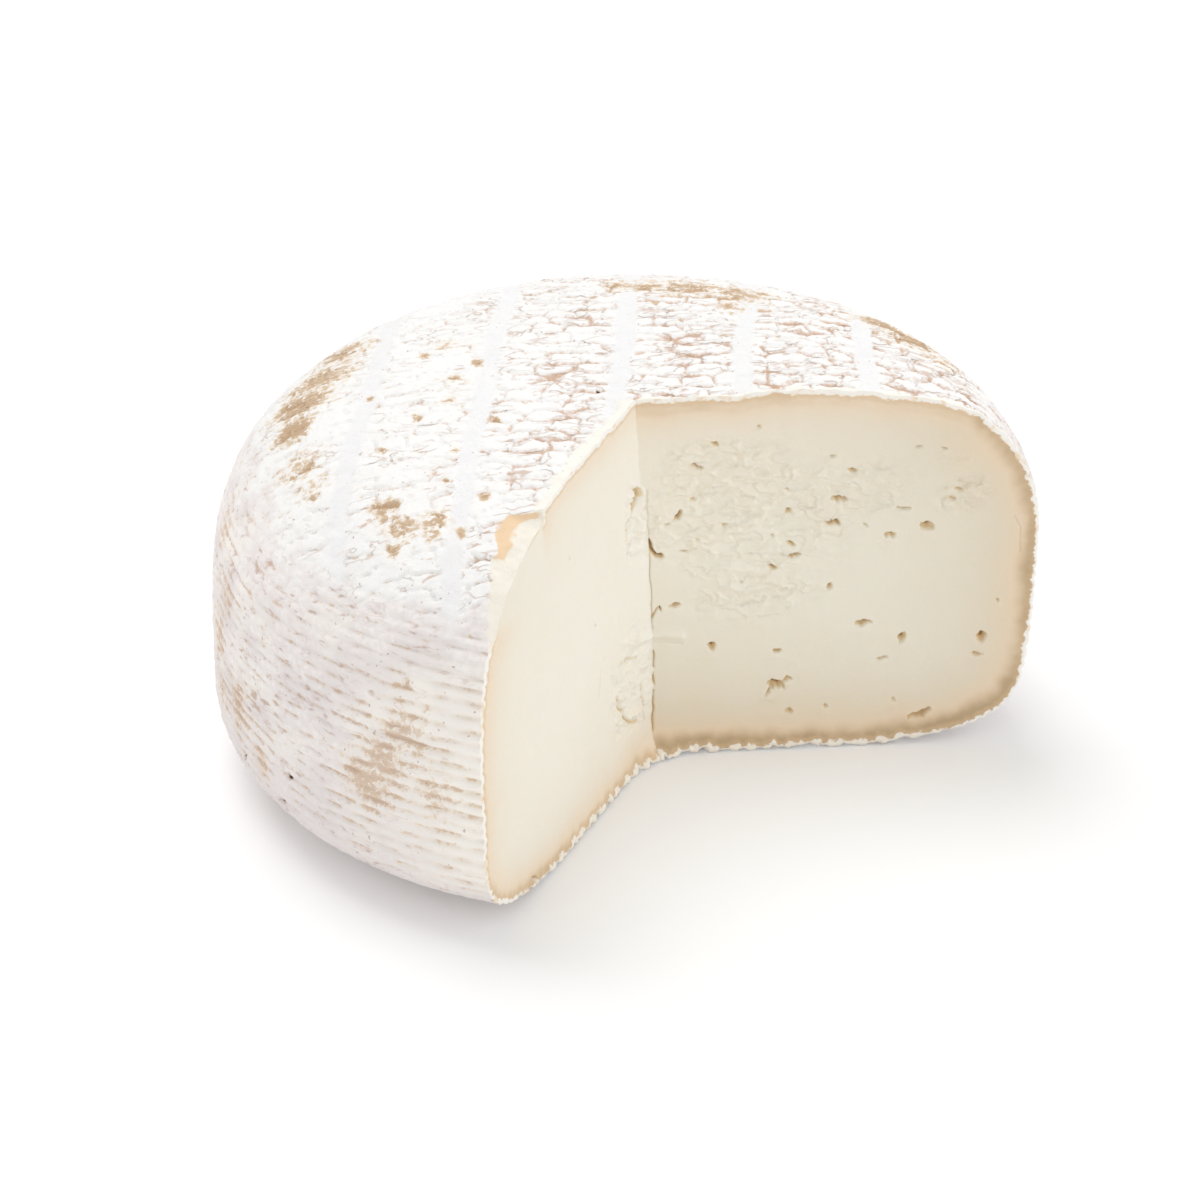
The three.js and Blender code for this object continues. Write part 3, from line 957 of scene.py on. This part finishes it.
RIND_SHARES = ("groove", "bare", "band", "wall", "stain", "pit", "rim", "chip", "tanned", "creamy", "lower")
PASTE_SHARES = ("depth", "ripe", "dull", "pore", "torn", "peel", "fresh")


def make_mesh(skin, materials):
    points = settled(webbed(np.vstack(skin.points))) * MM
    faces, parts, uvs = np.vstack(skin.faces), np.concatenate(skin.parts), np.vstack(skin.uvs)
    sharp = closed_edges(faces, parts)
    mesh = bpy.data.meshes.new("cheese")
    mesh.vertices.add(len(points))
    mesh.vertices.foreach_set("co", points.astype(np.float32).ravel())
    mesh.loops.add(faces.size)
    mesh.loops.foreach_set("vertex_index", faces.astype(np.int32).ravel())
    mesh.polygons.add(len(faces))
    mesh.polygons.foreach_set("loop_start", np.arange(0, faces.size, 3, dtype=np.int32))
    for material in materials:
        mesh.materials.append(material)
    mesh.polygons.foreach_set("material_index", np.minimum(parts, 1).astype(np.int32))
    mesh.update(calc_edges=True)
    ends = np.empty(len(mesh.edges) * 2, np.int32)
    mesh.edges.foreach_get("vertices", ends)
    ends = np.sort(ends.reshape(-1, 2).astype(int), axis=1)
    crease = mesh.attributes.new("sharp_edge", "BOOLEAN", "EDGE")
    crease.data.foreach_set("value", np.isin(ends[:, 0] * 10 ** 7 + ends[:, 1], sharp))
    layout = mesh.uv_layers.new(name="OFBake")
    layout.data.foreach_set("uv", (uvs / SHEET).astype(np.float32).ravel())
    for name in RIND_SHARES + PASTE_SHARES:
        attribute = mesh.attributes.new(name, "FLOAT", "POINT")
        attribute.data.foreach_set("value", skin.look(name).astype(np.float32))
    mesh.validate()
    return mesh


# ---------------------------------------------------------------- materials

class Field:
    """A number or colour that a material works out at each place. Numbers take the usual signs."""

    def __init__(self, nodes, socket):
        self.nodes, self.socket = nodes, socket

    def __add__(self, other):
        return self.nodes.math("ADD", self, other)

    def __sub__(self, other):
        return self.nodes.math("SUBTRACT", self, other)

    def __rsub__(self, other):
        return self.nodes.math("SUBTRACT", other, self)

    def __mul__(self, other):
        return self.nodes.math("MULTIPLY", self, other)

    __radd__, __rmul__ = __add__, __mul__


class Nodes:
    """Short ways to write a material's nodes. The shares of the mesh that it names are fields of it."""

    def __init__(self, name, shares):
        self.material = bpy.data.materials.new(name)
        self.material.use_nodes = True
        self.tree = self.material.node_tree
        self.place = self.node("TexCoord", "Object", {})
        for share in shares:
            setattr(self, share, self.node("Attribute", "Fac", {}, attribute_name=share))

    def set(self, socket, value):
        """Links a field to a socket, or sets it to a number, a vector or a colour."""
        if isinstance(value, Field):
            self.tree.links.new(value.socket, socket)
        elif isinstance(value, tuple):
            socket.default_value = value + (1,) * (len(socket.default_value) - len(value))
        else:
            socket.default_value = value

    def node(self, kind, output, inputs, **settings):
        """Adds a node with these settings and inputs, and gives one of its outputs."""
        node = self.tree.nodes.new("ShaderNode" + kind)
        for name, value in settings.items():
            setattr(node, name, value)
        for name, value in inputs.items():
            self.set(node.inputs[name], value)
        return Field(self, node.outputs[output])

    def math(self, kind, a, b=0.0):
        return self.node("Math", 0, {0: a, 1: b}, operation=kind)

    def highest(self, a, b):
        return self.math("MAXIMUM", a, b)

    def height(self):
        return self.node("SeparateXYZ", "Z", {0: self.place})

    def noise(self, size, detail=2.0, stretch=(1, 1, 1)):
        """Noise with a mean of about 0.5 and lumps of that size in mm."""
        place = self.node("Mapping", 0, {"Vector": self.place, "Scale": stretch})
        return self.node("TexNoise", "Fac", {"Vector": place, "Scale": 1 / (size * MM), "Detail": detail})

    def ridge(self, size, detail, stretch, width):
        """Thin lines, 1 along the line, that wander like creases."""
        return self.step(self.math("ABSOLUTE", self.noise(size, detail, stretch) - 0.5), width, 0.0)

    def step(self, value, low, high):
        """A smooth step from 0 at low to 1 at high, also where high is the smaller number."""
        start, end = (0.0, 1.0) if low < high else (1.0, 0.0)
        span = {"From Min": min(low, high), "From Max": max(low, high), "To Min": start, "To Max": end}
        return self.node("MapRange", "Result", {"Value": value, **span}, interpolation_type="SMOOTHSTEP")

    def mix(self, share, a, b):
        """Colour a where the share is 0 and colour b where it is 1."""
        return self.node("Mix", 2, {0: share, 6: a, 7: b}, data_type="RGBA")

    def bump(self, height, depth, under=None):
        inputs = {"Strength": 1.0, "Distance": depth * MM, "Height": height}
        if under is not None:
            inputs["Normal"] = under
        return self.node("Bump", "Normal", inputs)

    def shade(self, colour, roughness, normal, constants):
        """Wires the shader, and sets what is the same all over on its own sockets."""
        shader = self.tree.nodes["Principled BSDF"]
        for name, value in (("Base Color", colour), ("Roughness", roughness), ("Normal", normal)):
            self.set(shader.inputs[name], value)
        for name, value in constants.items():
            shader.inputs[name].default_value = value
        return self.material


BLOOM = (0.895, 0.885, 0.868)
BLOOM_GREY = (0.86, 0.84, 0.825)
BLOOM_PALE = (0.88, 0.84, 0.82)
BLOOM_WALL = (0.82, 0.765, 0.742)
BLOOM_LILAC = (0.755, 0.70, 0.69)
BLOOM_CREAM = (0.91, 0.87, 0.81)
RIB_TAN = (0.79, 0.68, 0.56)
BAND_WHITE = (0.825, 0.82, 0.825)
GROOVE_TAN = (0.67, 0.49, 0.39)
# Brown of the small marks, and of the grooves' depths, where it is partly painted shade.
GROOVE_BROWN_AND_SHADE = (0.54, 0.345, 0.23)
GROOVE_WALL = (0.63, 0.49, 0.43)
STAIN_BROWN = (0.50, 0.335, 0.205)
STAIN_OCHRE = (0.78, 0.61, 0.40)
STAIN_WALL = (0.55, 0.375, 0.275)
DASH = (0.50, 0.36, 0.29)
CREAM = (0.90, 0.865, 0.765)
CHIP_CREAM = (0.86, 0.815, 0.72)
CHIP_TAN = (0.83, 0.62, 0.41)
SPECK_BROWN = (0.36, 0.22, 0.15)
PIT_BROWN = (0.12, 0.055, 0.04)
PASTE = (0.85, 0.81, 0.705)
PASTE_SOFT = (0.85, 0.795, 0.675)
PASTE_SHADE = (0.70, 0.635, 0.50)
PASTE_WHITE = (0.89, 0.86, 0.79)
PASTE_PEACH = (0.82, 0.65, 0.465)
PASTE_RIPE = (0.50, 0.365, 0.215)
RIND_LINE = (0.68, 0.49, 0.30)
RIND_CUT = (0.89, 0.86, 0.80)
RIND_FOOT = (0.84, 0.775, 0.67)
PORE_OCHRE = (0.73, 0.57, 0.33)
# Dark brown for the painted shade deep in the eyes and cracks.
PORE_SHADE_BROWN = (0.36, 0.215, 0.085)


def bloom_colour(n):
    """White bloom on the top, pinker and greyer on the wall, and creamy near the left cut; painted shade
    darkens the wall towards the base.
    """
    white = n.mix(0.6 * n.step(n.middle, 0.45, 0.65), BLOOM, BLOOM_GREY)
    pink = n.mix(n.step(n.small, 0.38, 0.66), BLOOM_WALL, BLOOM_PALE)
    pink = n.mix(0.75 * n.step(n.long, 0.42, 0.6), pink, BLOOM_LILAC)
    cream = n.creamy + 0.5 * n.step(n.noise(19, 2), 0.52, 0.64)
    pink = n.mix(n.math("MINIMUM", 0.9 * cream, 1.0), pink, BLOOM_CREAM)
    # Painted shade: the wall turns darker and lilac towards the base.
    pink = n.mix(0.85 * n.lower, pink, BLOOM_LILAC)
    colour = n.mix(n.on_wall, white, pink)
    colour = n.mix(n.band * (0.3 + 0.8 * n.middle), colour, BAND_WHITE)
    return n.mix(0.6 * (n.groove * n.creamy), colour, RIB_TAN)


def grooved_colour(n, colour):
    """Tan in the print's grooves and in the creases, darkest where the bloom is thin; that darkest brown is
    partly painted shade in the grooves. Also gives how dark.
    """
    shown = 0.72 * n.groove + 0.3 * n.bare + 0.5 * n.middle + 0.55 * n.small - 0.12 * n.creamy
    dark_groove_and_shade = n.step(shown + 0.1 * n.creases, 1.28, 1.5)
    tan = n.mix(n.on_wall, GROOVE_TAN, GROOVE_WALL)
    colour = n.mix(0.7 * n.step(shown, 1.08, 1.42), colour, tan)
    colour = n.mix(0.65 * n.creases, colour, tan)
    # Dark brown deep in the grooves: partly the rind's own colour, partly painted shade.
    return n.mix(0.85 * dark_groove_and_shade, colour, n.mix(n.step(n.fine, 0.35, 0.65), GROOVE_BROWN_AND_SHADE, tan)), dark_groove_and_shade


def marked_colour(n, colour):
    """Wrinkles and short dashes on the wall, and small brown marks on the top."""
    wrinkle = n.ridge(3.4, 2, (0.4, 0.4, 1.5), 0.03) * n.step(n.noise(7, 2), 0.5, 0.66) * n.on_wall
    dash = n.noise(1.5, 2, (0.45, 0.45, 1.3)) + 0.24 * n.long
    dash = dash + 0.16 * n.bare + 0.09 * n.groove + 0.1 * n.small - 0.15 * n.creamy
    colour = n.mix(0.42 * wrinkle, colour, GROOVE_WALL)
    colour = n.mix(0.42 * (n.step(dash, 0.80, 0.96) * n.on_wall), colour, GROOVE_WALL)
    colour = n.mix(0.62 * (n.step(dash, 0.90, 1.0) * n.on_wall), colour, DASH)
    mark = n.noise(2.1, 2, (0.45, 1, 1)) + 0.3 * n.middle + 0.04 * n.creases
    return n.mix(0.62 * (n.step(mark, 0.80, 0.90) * (1 - n.plain)), colour, GROOVE_BROWN_AND_SHADE)


def stained_colour(n, colour):
    """Ochre, then brown, where the bloom was rubbed off: fainter on the wall, where it follows the ribs."""
    ragged = n.stain + 1.5 * n.small + 0.5 * n.middle + 0.4 * n.groove + 0.35 * (n.groove * n.on_wall)
    ragged = ragged - 0.35 * n.ridge(2.2, 2, (0.6, 1, 1), 0.05)
    bold = 1 - 0.32 * n.on_wall
    colour = n.mix(0.66 * (n.step(ragged, 1.3, 1.95) * bold), colour, STAIN_OCHRE)
    brown = n.mix(n.on_wall, STAIN_BROWN, STAIN_WALL)
    brown = n.mix(0.5 * n.step(n.small, 0.5, 0.72), brown, STAIN_OCHRE)
    return n.mix(0.9 * (n.step(ragged, 1.58, 2.12) * bold), colour, brown)


def edged_colour(n, colour):
    """The creamy edges of the cuts, the bare place of the flake, and the specks and holes."""
    colour = n.mix(0.7 * n.rim, colour, CREAM)
    flaked = n.mix(n.step(n.tanned + 0.5 * n.small, 0.7, 1.15), CHIP_CREAM, CHIP_TAN)
    colour = n.mix(n.step(n.chip, 0.2, 0.6), colour, flaked)
    speck = n.step(n.noise(0.9, 0), 0.80, 0.85) * (1 - n.chip)
    colour = n.mix(0.55 * speck, colour, SPECK_BROWN)
    colour = n.mix(0.35 * n.step(n.pit, 0.25, 0.45), colour, STAIN_BROWN)
    return n.mix(n.step(n.pit, 0.45, 0.55), colour, PIT_BROWN)


def rind_material():
    """White bloom over a tan rind, thin in the grooves, with rubbed brown patches and a velvety sheen."""
    n = Nodes("rind", RIND_SHARES)
    n.middle, n.small, n.fine = n.noise(6, 3), n.noise(1.5, 3), n.noise(0.45, 2)
    n.long = n.noise(9, 3, (0.5, 0.5, 1.2))
    n.on_wall = n.step(n.wall + 1.1 * (n.middle - 0.5), 0.2, 0.8)
    n.plain = n.highest(n.highest(n.band, n.rim), n.highest(n.on_wall, n.chip))
    n.creases = n.ridge(3.6, 2, (0.45, 1, 1), 0.028) * n.step(n.noise(8, 2) + 0.2 * n.bare, 0.5, 0.68)
    n.creases = n.creases * (1 - n.plain)

    colour, dark_groove_and_shade = grooved_colour(n, bloom_colour(n))
    colour = edged_colour(n, stained_colour(n, marked_colour(n, colour)))
    rough = 0.74 + 0.2 * n.small - 0.1 * dark_groove_and_shade - 0.15 * n.chip
    velvet = n.bump(0.6 * n.fine + 0.4 * n.noise(0.2, 1), 0.12)
    folded = n.bump(-1.0 * n.creases, 0.15, velvet)
    return n.shade(colour, rough, n.bump(n.small, 0.25, folded), {
        "Specular IOR Level": 0.25,
        "Sheen Weight": 0.06,
        "Subsurface Weight": 0.08,
        "Subsurface Radius": (1.0, 0.8, 0.6),
        "Subsurface Scale": 1.2 * MM,
    })


def paste_colour(n):
    """Ivory, paler on the left face as painted light, darkened by painted shade and then ripe towards the
    rind, with ochre in the eyes and cracks and painted shade deep in them.
    """
    colour = n.mix(0.5 * n.step(n.middle, 0.35, 0.7), PASTE, PASTE_SOFT)
    colour = n.mix(n.step(n.small, 0.55, 0.75) * (0.2 + 0.4 * n.torn), colour, PASTE_WHITE)
    # Painted light: the left face paler and less yellow, as if lit more strongly than the right face.
    colour = n.mix(0.45 * n.fresh, colour, PASTE_WHITE)
    # Painted shade near the wall and the base.
    colour = n.mix(n.dull, colour, PASTE_SHADE)
    tint = n.ripe + (n.middle - 0.5) * (0.6 * n.ripe)
    colour = n.mix(n.math("MINIMUM", 1.5 * tint, 1.0), colour, PASTE_PEACH)
    colour = n.mix(n.step(tint, 0.42, 0.95), colour, PASTE_RIPE)
    hollow = n.pore + 0.35 * (n.small - 0.5)
    colour = n.mix(0.8 * n.step(hollow, 0.12, 0.5), colour, PORE_OCHRE)
    # Painted shade: dark brown deep in the eyes and cracks, over their own ochre.
    return n.mix(n.step(hollow, 0.55, 0.95), colour, PORE_SHADE_BROWN)


def cut_rind_colour(n, colour):
    """The pale cut edge of the rind with a thin tan line under it, left out where the rind peels off."""
    edge = n.depth + 1.8 * (n.small - 0.5) + 1.6 * (n.middle - 0.5)
    line = n.step(edge, 0.7, 1.3) * n.step(edge, 2.6, 1.4)
    cut_rind = n.mix(0.8 * n.step(n.noise(3.2, 2), 0.54, 0.7), RIND_CUT, PASTE_PEACH)
    cut_rind = n.mix(0.75 * n.step(n.height(), 6 * MM, 2.5 * MM), cut_rind, RIND_FOOT)
    kept = 1 - n.peel
    colour = n.mix(0.5 * line * kept, colour, RIND_LINE)
    return n.mix(n.step(edge, 1.2, 0.7) * kept, colour, cut_rind)


def paste_material():
    """Ivory paste that ripens to tan at the rind, with torn flecks and ochre eyes."""
    n = Nodes("paste", PASTE_SHARES)
    n.middle, n.small, n.fine = n.noise(9, 3), n.noise(1.4, 3, (1, 1, 1.5)), n.noise(0.5, 2)
    rough = 0.5 + 0.16 * n.small + 0.08 * n.torn
    grained = n.bump(n.small * (0.35 + n.torn), 0.2, n.bump(n.fine, 0.05))
    return n.shade(cut_rind_colour(n, paste_colour(n)), rough, grained, {
        "Specular IOR Level": 0.35,
        "Subsurface Weight": 0.2,
        "Subsurface Radius": (1.0, 0.75, 0.5),
        "Subsurface Scale": 1.8 * MM,
    })


# ---------------------------------------------------------------- the scene

def make_cheese():
    mesh = make_mesh(build_skin(), (rind_material(), paste_material()))
    cheese = bpy.data.objects.new("cheese", mesh)
    bpy.context.scene.collection.objects.link(cheese)
    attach(cheese, "root")
    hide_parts("cheese_wheel")


make_camera()
make_studio()
make_cheese()
